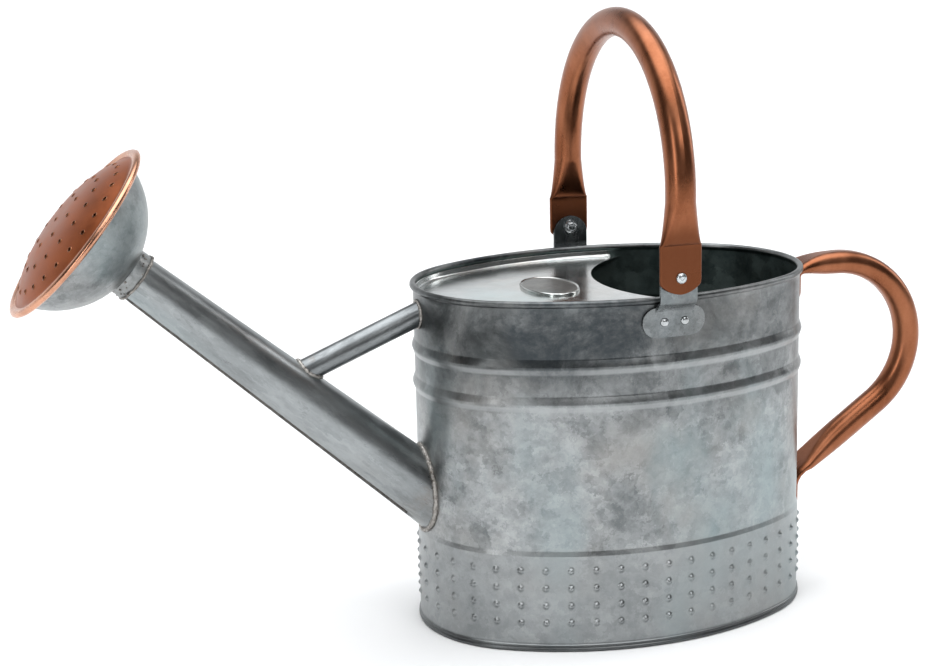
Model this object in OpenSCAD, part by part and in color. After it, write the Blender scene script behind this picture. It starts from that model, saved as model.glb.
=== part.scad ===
// Oval watering can in galvanised sheet, with a swinging bail, a rear handle and a rose.
// +Z is up, the spout points to -X and the rear handle to +X.
// The origin is the centre of the can's foot, on the ground. Millimetres.

/* [Body] */
// Length of the oval wall
body_l = 236; // [220:1:250]
// Width of the oval wall
body_w = 160; // [152:1:168]
// Radius of the oval's two ends
end_r = 65; // [60:1:70]
// Height from the ground to the top of the rim
body_h = 206; // [200:1:215]
// Thickness of the sheet
sheet = 0.8; // [0.6:0.1:1]
// Thickness of the curled rim
rim_d = 3.8; // [3.4:0.1:4.2]
// Heights of the two raised beads
bead_z = [168, 146.5]; // [100:0.5:190]
// Height of one bead
bead_h = 9; // [6:0.5:10]
// How far a bead stands out
bead_out = 1.5; // [1:0.1:2]
// Height of the step above the lower band
step_z = 58.8; // [50:0.1:59]
// How far the lower band stands out
band_out = 0.8; // [0.5:0.1:1]
// Height of the foot ring
foot_h = 4; // [3:0.5:6]
// How far the foot ring stands out from the wall
foot_out = 1.8; // [1.2:0.1:2.2]

/* [Cover] */
// Height of the cover's top face
cover_z = 198.5; // [195:0.5:199]
// Radius of the cover's cut edge
mouth_r = 85; // [80:1:90]
// Where the cut edge crosses the middle of the can
mouth_x = -5; // [-10:1:0]
// Where the cover's upright flange ends
flange_end_x = 30; // [25:1:34]
// Size of the plaque across and along the can
badge = [33, 52]; // [20:1:60]
// Middle of the plaque
badge_x = -37; // [-50:1:-35]
// Thickness of the plaque
badge_t = 2; // [1:0.1:3]

/* [Ears] */
// Middle of both ears, along the can
ear_x = 8; // [0:1:12]
// Height of the bail's hinge line
pivot_z = 217.7; // [217:0.1:219]
// Width of an ear's tab
tab_w = 22; // [20:1:24]
// Thickness of an ear
ear_t = 1.5; // [1:0.1:1.8]
// Distance from the middle of the can to a tab's inner face
tab_y = 86; // [85.5:0.1:86.5]
// Size of an ear's lower plate
plate = [38.4, 17.4]; // [16:0.2:42]
// Middle height of an ear's lower plate
plate_z = 191.4; // [190:0.1:192]
// Distance between an ear's two rivets
ear_rivet_gap = 12.4; // [10:0.2:16]
// Radius of a pivot rivet's shank
pivot_r = 2; // [1.8:0.1:2.4]

/* [Bail] */
// Diameter of the bail's tube
bail_d = 17; // [16:0.5:18]
// Radius of the bail's arch, to the middle of the tube
bail_r = 89.1; // [89:0.1:89.2]
// Height of the arch's centre
bail_z = 262.5; // [258:0.5:270]
// Width of the bail's flattened ends
paddle_w = 25; // [24:0.5:26]
// Thickness of the flattened ends
paddle_t = 2.8; // [2.4:0.1:2.8]
// Height of the crease above the flattened end
crease_z = 236; // [234:0.5:240]
// Wall of both handles' tubes
tube_wall = 1; // [0.8:0.1:1.2]

/* [Rear handle] */
// Diameter of the rear handle's tube
grip_d = 16; // [15:0.5:17]
// Radius of the rear handle's bend
grip_r = 50.5; // [48:0.5:52]
// Centre of the bend, along the can and up
grip_c = [149.5, 148.6]; // [140:0.1:155]
// Slope of the straight lower part
grip_slope = 35.3; // [34:0.1:37]

/* [Spout] */
// Angle of the spout above the ground
spout_angle = 41; // [40:0.5:42]
// Height at which the spout's axis meets the wall
spout_z = 85.5; // [84:0.5:88]
// Length of the spout along its axis
spout_l = 213; // [205:1:220]
// Radius at the spout's foot
spout_r1 = 18.9; // [18:0.1:19.5]
// Radius at the spout's tip
spout_r2 = 13.1; // [12:0.1:14]
// Diameter of the brace tube
brace_d = 14; // [12:0.5:15]
// Height at which the brace meets the wall
brace_z = 189.8; // [186:0.1:190]
// Slope of the brace
brace_slope = 22; // [20:0.5:24]

/* [Rose] */
// Radius of the rose's bowl
bowl_r = 50.3; // [49:0.1:52]
// Distance from the spout's tip to the bowl's mouth
rose_l = 41; // [39:0.5:43]
// Outer radius of the rose's edge
rose_r = 56.4; // [55:0.1:58]
// Height of the domed face
dome_h = 13.5; // [11:0.5:15]
// Diameter of a sprinkling hole
hole_d = 1.8; // [1.5:0.1:2]

/* [Hidden] */
$fn = 96;

galv = "lightsteelblue";
copper = "peru";
steel = "silver";

// The oval: two ends of end_r and two sides of side_r, which meet in a common tangent.
end_x = body_l / 2 - end_r;
side_r = (pow(end_x, 2) + pow(body_w / 2, 2) - pow(end_r, 2)) / (body_w - 2 * end_r);
side_y = side_r - body_w / 2;
join_a = atan2(side_y, end_x);

run_gap = 0.05;       // radial clearance of the pivot
side_gap = 0.2;       // clearance between an ear and the bail's end
paddle_y = tab_y + ear_t + side_gap;
head_gap = 0.15;      // clearance under the pivot rivet's head
weld_w = 2.6;         // width of a weld bead
far = 60;             // how far cutting solids reach
rivet_r = 1.5;
rivet_head_r = 2.5;
head_lift = 0.28;     // keeps a flat rivet head clear of a curved sheet
rear_rivet_y = 6;
tab_top = [180, 198]; // heights of the rear handle's upper tab
tab_low = [46, 70];   // heights of the rear handle's lower tab
rear_w = 24;          // width of the rear handle's tabs
rear_t = 2.4;         // thickness of the rear handle's tabs
hole_rings = [[0, 1], [17, 8], [31, 16], [43, 24]]; // radius and number of holes

module oval(out = 0) {
    for (side = [-1, 1]) translate([side * end_x, 0]) circle(end_r + out);
    intersection() {
        translate([0, side_y]) circle(side_r + out, $fn = 192);
        translate([0, -side_y]) circle(side_r + out, $fn = 192);
        square([2 * (side_r + out) * cos(join_a), body_w + 2 * far], center = true);
    }
}

module oval_block(out, z1, z2) {
    translate([0, 0, z1]) linear_extrude(z2 - z1) oval(out);
}

module oval_ring(out1, out2, z1, z2) {
    translate([0, 0, z1]) linear_extrude(z2 - z1) difference() {
        oval(out2);
        oval(out1);
    }
}

// Sweeps a profile round the oval. Its x is the distance out from the wall's face.
module oval_sweep() {
    for (side = [0, 1]) rotate([0, 0, 180 * side]) {
        translate([end_x, 0, 0]) rotate([0, 0, -join_a])
            rotate_extrude(angle = 2 * join_a) translate([end_r, 0]) children();
        translate([0, -side_y, 0]) rotate([0, 0, join_a])
            rotate_extrude(angle = 180 - 2 * join_a, $fn = 192) translate([side_r, 0]) children();
    }
}

function bead(z) = [for (a = [0:30:180]) [bead_out * sin(a), z - bead_h / 2 * cos(a)]];
wall_line = concat(
    [[band_out, 0], [band_out, step_z - 1.5], [0, step_z + 1.5]],
    bead(bead_z[1]), bead(bead_z[0]), [[0, body_h - rim_d / 2]]
);
wall_back = [for (i = [len(wall_line) - 1:-1:0]) wall_line[i] - [sheet, 0]];
// The rim is rolled tight, so it has no hollow.
rim_line = [for (a = [22.5:45:360]) [0.1, body_h - rim_d / 2] + rim_d / 2 / cos(22.5) * [cos(a), sin(a)]];

// Places children on the spout's axis, s along it from the wall, +Z towards the rose.
module on_spout(s = 0) {
    translate([-body_l / 2, 0, spout_z]) rotate([0, spout_angle - 90, 0])
        translate([0, 0, s]) children();
}

// The spout's cone, grown by out, from far inside the can to its tip.
module spout_cone(out = 0, more = 0) {
    flare = (spout_r1 - spout_r2) / spout_l;
    on_spout(-far) cylinder(r1 = spout_r1 + out + flare * far, r2 = spout_r2 + out - flare * more,
        h = spout_l + far + more);
}

// Places children on the brace's axis, +Z from the wall towards the spout.
module on_brace(s = 0) {
    translate([-body_l / 2, 0, brace_z]) rotate([0, -90 - brace_slope, 0])
        translate([0, 0, s]) children();
}

module ear_holes(side, r, y1, y2) {
    for (x = [-1, 1]) translate([ear_x + x * ear_rivet_gap / 2, 0, plate_z])
        rotate([side * 90, 0, 0]) translate([0, 0, y1]) cylinder(r = r, h = y2 - y1, $fn = 48);
}

module rear_holes(z, r) {
    for (y = [-1, 1]) translate([body_l / 2 - 10, y * rear_rivet_y, z])
        rotate([0, 90, 0]) cylinder(r = r, h = 20, $fn = 48);
}

module body_wall() {
    color(galv) difference() {
        union() {
            oval_sweep() polygon(concat(wall_line, wall_back));
            oval_sweep() polygon(rim_line);
            oval_ring(band_out - sheet / 2, foot_out, 0, foot_h);
        }
        spout_cone(-sheet);
        for (side = [-1, 1]) ear_holes(side, rivet_r, body_w / 2 - 5, body_w / 2 + 5);
        rear_holes(mid(tab_top) - 1, rivet_r);
        rear_holes(mid(tab_low) - 4, rivet_r);
    }
}

function mid(pair) = (pair[0] + pair[1]) / 2;

module base_plate() {
    color(galv) {
        oval_block(band_out - sheet, foot_h - 1, foot_h - 1 + sheet);
        oval_ring(band_out - 2 * sheet, band_out - sheet, 0.6, foot_h - 1);
    }
}

module top_cover() {
    color(galv) {
        difference() {
            oval_block(-sheet, cover_z - sheet, cover_z);
            translate([mouth_x + mouth_r, 0, cover_z - 5]) cylinder(r = mouth_r, h = 10, $fn = 192);
            translate([flange_end_x + 4, -far * 2, cover_z - 5]) cube([far * 2, far * 4, 10]);
        }
        intersection() {
            oval_ring(-2 * sheet, -sheet, cover_z, body_h - rim_d);
            translate([flange_end_x - 300, -far * 2, cover_z]) cube([300, far * 4, 20]);
        }
    }
}

module badge_plate() {
    color(steel) translate([badge_x, 0, cover_z]) scale([badge[0] / badge[1], 1, 1]) difference() {
        cylinder(d = badge[1], h = badge_t);
        translate([0, 0, badge_t - 0.6]) cylinder(d = badge[1] - 4, h = 1);
    }
}

// An ear stands on side -1 (front) or 1 (back): a riveted plate, a joggle and a tab.
module ear(side) {
    foot_y = body_w / 2;
    color(galv) mirror([0, side > 0 ? 0 : 1, 0]) difference() {
        union() {
            intersection() {
                oval_ring(0, ear_t, plate_z - far / 2, plate_z + far / 2);
                translate([ear_x, 0, plate_z]) rotate([-90, 0, 0]) linear_extrude(2 * foot_y) union() {
                    for (x = [-1, 1]) translate([x * (plate[0] - plate[1]) / 2, 0]) circle(d = plate[1]);
                    square([plate[0] - plate[1], plate[1]], center = true);
                }
            }
            translate([ear_x - tab_w / 2, 0, 0]) rotate([90, 0, 90]) linear_extrude(tab_w) polygon([
                [foot_y - 3, 195.2], [foot_y + ear_t, 195.2], [foot_y + ear_t, 196.5],
                [tab_y + ear_t, 203], [tab_y + ear_t, 214], [tab_y, 214], [tab_y, 203.6],
                [foot_y, 197.5], [foot_y - 3, 197.5]
            ]);
            translate([ear_x, tab_y, 213.5]) rotate([-90, 0, 0]) cylinder(d = tab_w, h = ear_t);
        }
        oval_block(0, 0, body_h - 4);
        ear_holes(-1, rivet_r, foot_y - 5, foot_y + 5);
        translate([ear_x, 0, pivot_z]) rotate([-90, 0, 0]) cylinder(r = pivot_r + run_gap, h = 2 * foot_y);
    }
}

// A rivet along +Z from its inner head at z1 to its outer head at z2.
module rivet(r, head_r, z1, z2, head_h) {
    translate([0, 0, z1 - head_h * 0.8]) cylinder(r1 = head_r * 0.7, r2 = head_r * 0.9, h = head_h * 0.8, $fn = 48);
    translate([0, 0, z1]) cylinder(r = r, h = z2 - z1, $fn = 48);
    translate([0, 0, z2]) intersection() {
        translate([0, 0, head_h - head_r * 1.2]) sphere(r = head_r * 1.2, $fn = 48);
        cylinder(r = head_r, h = head_h, $fn = 48);
    }
}

module ear_rivets(side) {
    wall_y = [for (x = [-1, 1]) sqrt(pow(side_r, 2) - pow(ear_x + x * ear_rivet_gap / 2, 2)) - side_y];
    color(steel) for (i = [0, 1])
        translate([ear_x + (2 * i - 1) * ear_rivet_gap / 2, 0, plate_z]) rotate([side * -90, 0, 0])
            rivet(rivet_r, rivet_head_r, wall_y[i] - sheet - head_lift, wall_y[i] + ear_t + head_lift, 1.5);
}

module pivot_rivet(side) {
    head_y = paddle_y + paddle_t + head_gap;
    color(steel) translate([ear_x, 0, pivot_z]) rotate([side * -90, 0, 0]) {
        translate([0, 0, tab_y - 1.2]) cylinder(r = pivot_r, h = head_y - tab_y + 1.2, $fn = 48);
        translate([0, 0, head_y]) intersection() {
            translate([0, 0, 1.8 - 3.4]) sphere(r = 3.4, $fn = 48);
            cylinder(r = 3.2, h = 1.8, $fn = 48);
        }
        translate([0, 0, tab_y - 3.2]) cylinder(r1 = 2.6, r2 = 3.1, h = 2, $fn = 48);
    }
}

module pivot_washers() {
    color(steel) for (side = [-1, 1]) translate([ear_x, 0, pivot_z]) rotate([side * -90, 0, 0])
        translate([0, 0, tab_y - 1.2]) difference() {
            cylinder(r = 4.3, h = 1.2, $fn = 48);
            translate([0, 0, -1]) cylinder(r = pivot_r, h = 4, $fn = 48);
        }
}

// The bail's outline grown inwards by inset: 0 outside, tube_wall for the hollow.
module bail_tube(inset) {
    r = bail_d / 2 - inset;
    translate([ear_x, 0, bail_z]) rotate([90, 0, 90]) rotate_extrude(angle = 180, $fn = 128)
        translate([bail_r, 0]) circle(r, $fn = 64);
    for (side = [-1, 1]) {
        translate([ear_x, side * bail_r, crease_z + 14]) cylinder(r = r, h = bail_z - crease_z - 14, $fn = 64);
        hull() {
            translate([ear_x, side * bail_r, crease_z + 14]) cylinder(r = r, h = 0.01, $fn = 32);
            translate([ear_x, side * bail_r, crease_z + 2 * inset])
                cube([paddle_w - 4 * inset, paddle_t - 2.4 * inset, 0.01], center = true);
        }
    }
}

module bail_handle() {
    color(copper) difference() {
        union() {
            bail_tube(0);
            for (side = [-1, 1]) translate([ear_x, side * bail_r, 0]) intersection() {
                translate([-paddle_w / 2, -paddle_t / 2, 200]) cube([paddle_w, paddle_t, crease_z - 200]);
                translate([0, 0, 208.4 + 16]) rotate([90, 0, 0]) union() {
                    cylinder(r = 16, h = far, center = true);
                    translate([-far, 0, -far]) cube([2 * far, 2 * far, 2 * far]);
                }
            }
        }
        bail_tube(tube_wall);
        translate([ear_x, 0, pivot_z]) rotate([90, 0, 0])
            cylinder(r = pivot_r + run_gap, h = 4 * far, center = true, $fn = 48);
    }
}

// The rear handle's tube grown inwards by inset: the bend, its straight lower part and its pressed ends.
// Each piece starts 1 mm inside the one before and is a hair thinner, so that they join cleanly.
module grip_tube(inset) {
    r = grip_d / 2 - inset;
    low_l = 46;
    translate([grip_c[0], 0, grip_c[1]]) rotate([90, 0, 0]) rotate([0, 0, grip_slope - 90])
        rotate_extrude(angle = 180 - grip_slope, $fn = 128) translate([grip_r, 0]) circle(r, $fn = 64);
    on_grip_low(-1) cylinder(r = r - 0.06, h = low_l + 1, $fn = 64);
    hull() {
        on_grip_low(low_l - 1) cylinder(r = r - 0.12, h = 0.5, $fn = 32);
        translate([body_l / 2 + 1.6 + 2 * inset, 0, tab_low[1] - 3])
            cube([0.4, rear_w - 4 * inset, 6 - 4 * inset], center = true);
    }
    translate([grip_c[0] + 1, 0, grip_c[1] + grip_r]) rotate([0, -90, 0]) cylinder(r = r - 0.06, h = 9, $fn = 64);
    hull() {
        translate([grip_c[0] - 7, 0, grip_c[1] + grip_r]) rotate([0, -90, 0]) cylinder(r = r - 0.12, h = 0.5, $fn = 32);
        translate([body_l / 2 + 1.6 + 2 * inset, 0, tab_top[1] - 3])
            cube([0.4, rear_w - 4 * inset, 6 - 4 * inset], center = true);
    }
}

// Places children on the lower straight part's axis, +Z away from the bend.
module on_grip_low(s) {
    translate([grip_c[0] + grip_r * sin(grip_slope), 0, grip_c[1] - grip_r * cos(grip_slope)])
        rotate([0, -90 - grip_slope, 0]) translate([0, 0, s]) children();
}

module rear_tab(z) {
    intersection() {
        oval_ring(0, rear_t + band_out, z[0], z[1]);
        translate([body_l / 2 - 10, -rear_w / 2, z[0]]) cube([20, rear_w, z[1] - z[0]]);
    }
}

module rear_handle() {
    color(copper) difference() {
        union() {
            grip_tube(0);
            rear_tab(tab_top);
            rear_tab(tab_low);
        }
        grip_tube(tube_wall);
        oval_block(0, 0, body_h);
        oval_block(band_out, 0, step_z + 1.6);
        rear_holes(mid(tab_top) - 1, rivet_r);
        rear_holes(mid(tab_low) - 4, rivet_r);
    }
}

module rear_rivets(z, out) {
    wall_x = end_x + sqrt(pow(end_r + out, 2) - pow(rear_rivet_y, 2));
    color(steel) for (y = [-1, 1]) translate([0, y * rear_rivet_y, z]) rotate([0, 90, 0])
        rivet(rivet_r, rivet_head_r, wall_x - sheet - head_lift, wall_x + rear_t + band_out - out + head_lift, 1.5);
}

module spout_tube() {
    color(galv) difference() {
        spout_cone(0);
        spout_cone(-sheet, 1);
        oval_block(0, 0, body_h);
    }
}

module spout_weld() {
    color(steel) difference() {
        intersection() {
            spout_cone(weld_w);
            oval_block(weld_w, 20, 150);
        }
        spout_cone(0);
        oval_block(0, 0, body_h);
        oval_block(band_out, 0, step_z + 1.6);
    }
}

module spout_brace() {
    color(galv) difference() {
        on_brace(-20) cylinder(d = brace_d, h = 100);
        on_brace(-21) cylinder(d = brace_d - 2 * sheet, h = 110);
        spout_cone(0);
        oval_block(0, 0, body_h);
    }
}

module brace_weld_wall() {
    color(steel) difference() {
        intersection() {
            on_brace(-20) cylinder(d = brace_d + weld_w, h = 40);
            oval_block(weld_w / 2, 150, 201);
        }
        on_brace(-20) cylinder(d = brace_d, h = 60);
        oval_block(0, 0, body_h);
    }
}

module brace_weld_spout() {
    color(steel) difference() {
        intersection() {
            on_brace(30) cylinder(d = brace_d + weld_w, h = 60);
            spout_cone(weld_w / 2);
        }
        on_brace(0) cylinder(d = brace_d, h = 110);
        spout_cone(0);
    }
}

// Distance along the spout's axis from its tip to a point of the bowl at radius r.
bowl_c = rose_l + sqrt(pow(bowl_r, 2) - pow(48.4, 2));
mouth_edge = sqrt(pow(bowl_r, 2) - pow(bowl_c - rose_l, 2));
neck_r = spout_r2 + 1;
neck_back = 1.2; // how far the collar reaches back over the spout

module rose_collar() {
    color(galv) on_spout(spout_l - neck_back) difference() {
        cylinder(r = neck_r, h = neck_back - 0.02 + bowl_c - sqrt(pow(bowl_r, 2) - pow(neck_r - sheet, 2)));
        translate([0, 0, -1]) cylinder(r = neck_r - sheet, h = 20);
        on_axis_cone();
    }
}

// The spout's outside, in the collar's own frame.
module on_axis_cone() {
    flare = (spout_r1 - spout_r2) / spout_l;
    translate([0, 0, -2]) cylinder(r1 = spout_r2 + flare * (neck_back + 2), r2 = spout_r2, h = neck_back + 2);
}

module rose_weld() {
    color(steel) on_spout(spout_l - neck_back) rotate_extrude() difference() {
        translate([neck_r, 0.4]) circle(1.1, $fn = 32);
        square([neck_r, 20]);
        translate([0, -20]) square([spout_r2 + 0.2, 40]);
    }
}

module bowl_2d(out) {
    intersection() {
        translate([0, bowl_c]) circle(bowl_r + out, $fn = 128);
        translate([0, -20]) square([rose_r, rose_l + 20]);
    }
}

module rose_bowl() {
    color(galv) on_spout(spout_l) rotate_extrude() {
        difference() {
            bowl_2d(0);
            bowl_2d(-sheet);
            translate([0, -20]) square([neck_r - sheet, 40]);
        }
        translate([mouth_edge - sheet, rose_l - sheet]) square([rose_r - 1 - mouth_edge + sheet, sheet]);
    }
}

module rose_face() {
    base_r = 49.5;
    cap_r = (pow(base_r, 2) + pow(dome_h, 2)) / (2 * dome_h);
    color(copper) on_spout(spout_l + rose_l) difference() {
        rotate_extrude() {
            // domed face
            intersection() {
                difference() {
                    translate([0, dome_h - cap_r]) circle(cap_r, $fn = 256);
                    translate([0, dome_h - cap_r]) circle(cap_r - sheet, $fn = 256);
                }
                square([base_r + 0.5, dome_h + 1]);
            }
            // flat edge, crimped round the bowl's own flange
            translate([base_r - 1, 0]) square([rose_r - base_r + 1, sheet]);
            translate([rose_r - 0.8, -1.6]) square([0.8, 1.6]);
            translate([rose_r - 3, -1.6]) square([3, 0.8]);
        }
        translate([0, 0, -1]) for (ring = hole_rings, i = [0:ring[1] - 1])
            rotate([0, 0, (i + 0.5) * 360 / ring[1]]) translate([ring[0], 0, 0])
                cylinder(d = hole_d, h = 20, $fn = 24);
    }
}

body_wall();
base_plate();
top_cover();
badge_plate();
ear(-1);  // ear_front
ear(1);  // ear_back
ear_rivets(-1);  // ear_rivets_front
ear_rivets(1);  // ear_rivets_back
pivot_rivet(-1);  // pivot_rivet_front
pivot_rivet(1);  // pivot_rivet_back
pivot_washers();
bail_handle();
rear_handle();
rear_rivets(mid(tab_top) - 1, 0);  // rear_rivets_top
rear_rivets(mid(tab_low) - 4, band_out);  // rear_rivets_bottom
spout_tube();
spout_weld();
spout_brace();
brace_weld_wall();
brace_weld_spout();
rose_collar();
rose_weld();
rose_bowl();
rose_face();
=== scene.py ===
"""Looks for the oval galvanised watering can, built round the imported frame. Everything is in metres, in the row's frame."""

import math
import random

import bpy
from mathutils import Matrix, Vector, noise


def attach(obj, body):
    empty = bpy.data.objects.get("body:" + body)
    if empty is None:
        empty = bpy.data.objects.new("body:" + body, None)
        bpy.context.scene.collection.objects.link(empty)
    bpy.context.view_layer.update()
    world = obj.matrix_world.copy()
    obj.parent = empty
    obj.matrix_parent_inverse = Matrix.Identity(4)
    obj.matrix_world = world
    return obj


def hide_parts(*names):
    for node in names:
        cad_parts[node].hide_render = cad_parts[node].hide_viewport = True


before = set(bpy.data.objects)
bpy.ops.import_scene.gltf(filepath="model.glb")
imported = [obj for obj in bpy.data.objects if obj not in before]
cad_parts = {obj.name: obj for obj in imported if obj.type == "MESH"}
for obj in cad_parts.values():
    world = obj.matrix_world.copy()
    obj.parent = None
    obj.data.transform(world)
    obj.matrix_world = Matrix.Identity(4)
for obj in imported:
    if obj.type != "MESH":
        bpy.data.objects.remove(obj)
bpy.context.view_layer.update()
MM = 0.001
TAU = 2 * math.pi


# ---------------------------------------------------------------- sizes, in mm
END_R, END_X, HALF_W = 65.0, 53.0, 80.0
SIDE_R = (END_X**2 + HALF_W**2 - END_R**2) / (2 * (HALF_W - END_R))
SIDE_Y = SIDE_R - HALF_W
JOIN = math.atan2(SIDE_Y, END_X)
SHEET, BAND, STEP_Z, BODY_H, RIM_R = 0.8, 0.8, 58.8, 206.0, 1.9
BEADS, BEAD_H, BEAD_OUT = (168.0, 146.5), 9.0, 1.5
COVER_Z, MOUTH_R, MOUTH_X = 198.5, 85.0, -5.0
PIVOT = (8.0, 217.7)
SPOUT_A = math.radians(41)
SPOUT_O = Vector((-118.0, 0, 85.5))
SPOUT_L, SPOUT_R1, SPOUT_R2 = 213.0, 18.9, 13.1
BRACE_A = math.radians(22)
BRACE_O = Vector((-118.0, 0, 189.8))
GRIP_C, GRIP_R, GRIP_S = (149.5, 148.6), 50.5, math.radians(35.3)


# ---------------------------------------------------------------- mesh helpers
def build(name, verts, faces, body="can", slot="galvanised_sheet", mats=(), face_mats=None, flat=False, stands_for=()):
    """One mesh object from points in mm, riding on a body and standing for CAD nodes."""
    me = bpy.data.meshes.new(name)
    me.from_pydata([tuple(c * MM for c in v) for v in verts], [], faces)
    me.validate()
    ob = bpy.data.objects.new(name, me)
    bpy.context.scene.collection.objects.link(ob)
    for m in mats:
        me.materials.append(m)
    if face_mats:
        me.polygons.foreach_set("material_index", face_mats)
    me.polygons.foreach_set("use_smooth", [not flat] * len(me.polygons))
    me.update()
    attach(ob, body)
    if stands_for:
        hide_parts(*stands_for)
    return ob


def loft(rings, closed=False, caps=True, start=0):
    """Faces between rings of equal length that each close on themselves. closed joins the last ring to the first."""
    n, faces = len(rings[0]), []
    verts = [p for r in rings for p in r]
    pairs = [(i, i + 1) for i in range(len(rings) - 1)] + ([(len(rings) - 1, 0)] if closed else [])
    for a, b in pairs:
        for j in range(n):
            k = (j + 1) % n
            faces.append([start + a * n + j, start + a * n + k, start + b * n + k, start + b * n + j])
    if caps and not closed:
        faces.append([start + j for j in reversed(range(n))])
        faces.append([start + (len(rings) - 1) * n + j for j in range(n)])
    return verts, faces


def lathe(profile, place, n=64, closed=True):
    """Turns a closed (s, r) profile round an axis. place maps (s, r, angle) to a point."""
    rings = [[place(s, r, TAU * j / n) for j in range(n)] for s, r in profile]
    return loft(rings, closed=closed, caps=False)


def join(parts):
    """Several (verts, faces) as one."""
    verts, faces = [], []
    for v, f in parts:
        k = len(verts)
        verts += v
        faces += [[i + k for i in face] for face in f]
    return verts, faces


def turned(ob):
    """Turns an object's faces to point outwards."""
    import bmesh
    bm = bmesh.new()
    bm.from_mesh(ob.data)
    bmesh.ops.recalc_face_normals(bm, faces=bm.faces)
    bm.to_mesh(ob.data)
    bm.free()
    return ob


def sharp(ob, degrees=38):
    """Keeps crisp edges where faces meet at more than an angle."""
    import bmesh
    bm = bmesh.new()
    bm.from_mesh(ob.data)
    for e in bm.edges:
        if len(e.link_faces) == 2 and e.calc_face_angle() > math.radians(degrees):
            e.smooth = False
    bm.to_mesh(ob.data)
    bm.free()
    return ob


def bevelled(ob, width, segments=3, angle=40):
    m = ob.modifiers.new("edges", "BEVEL")
    m.width, m.segments, m.limit_method, m.angle_limit = width * MM, segments, "ANGLE", math.radians(angle)
    m.harden_normals = False
    return ob


# ---------------------------------------------------------------- the oval
ARCS = [
    ((0, SIDE_Y), SIDE_R, -math.pi / 2, math.pi / 2 - JOIN),
    ((END_X, 0), END_R, -JOIN, 2 * JOIN),
    ((0, -SIDE_Y), SIDE_R, JOIN, math.pi - 2 * JOIN),
    ((-END_X, 0), END_R, math.pi - JOIN, 2 * JOIN),
    ((0, SIDE_Y), SIDE_R, math.pi + JOIN, math.pi / 2 - JOIN),
]
GIRTH = sum(r * sweep for _, r, _, sweep in ARCS)


def oval(run, out=0.0):
    """Point and outward normal of the wall's outline, run mm round from the front's middle."""
    run %= GIRTH
    for (cx, cy), r, start, sweep in ARCS:
        if run <= r * sweep + 1e-9:
            a = start + run / r
            n = (math.cos(a), math.sin(a))
            return (cx + (r + out) * n[0], cy + (r + out) * n[1]), n
        run -= r * sweep
    return oval(0, out)


def wall_x(y, out=0.0):
    """Half length of the wall at y, near its ends."""
    return END_X + math.sqrt((END_R + out) ** 2 - y * y)


def wall_out(z):
    """How far the outer face stands out from the wall at height z."""
    out = BAND * min(max((STEP_Z + 1.5 - z) / 3.0, 0), 1)
    for zc in BEADS:
        d = abs(z - zc) / (BEAD_H / 2)
        if d < 1:
            out += BEAD_OUT * (1 - d**1.35)
    return out


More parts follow.
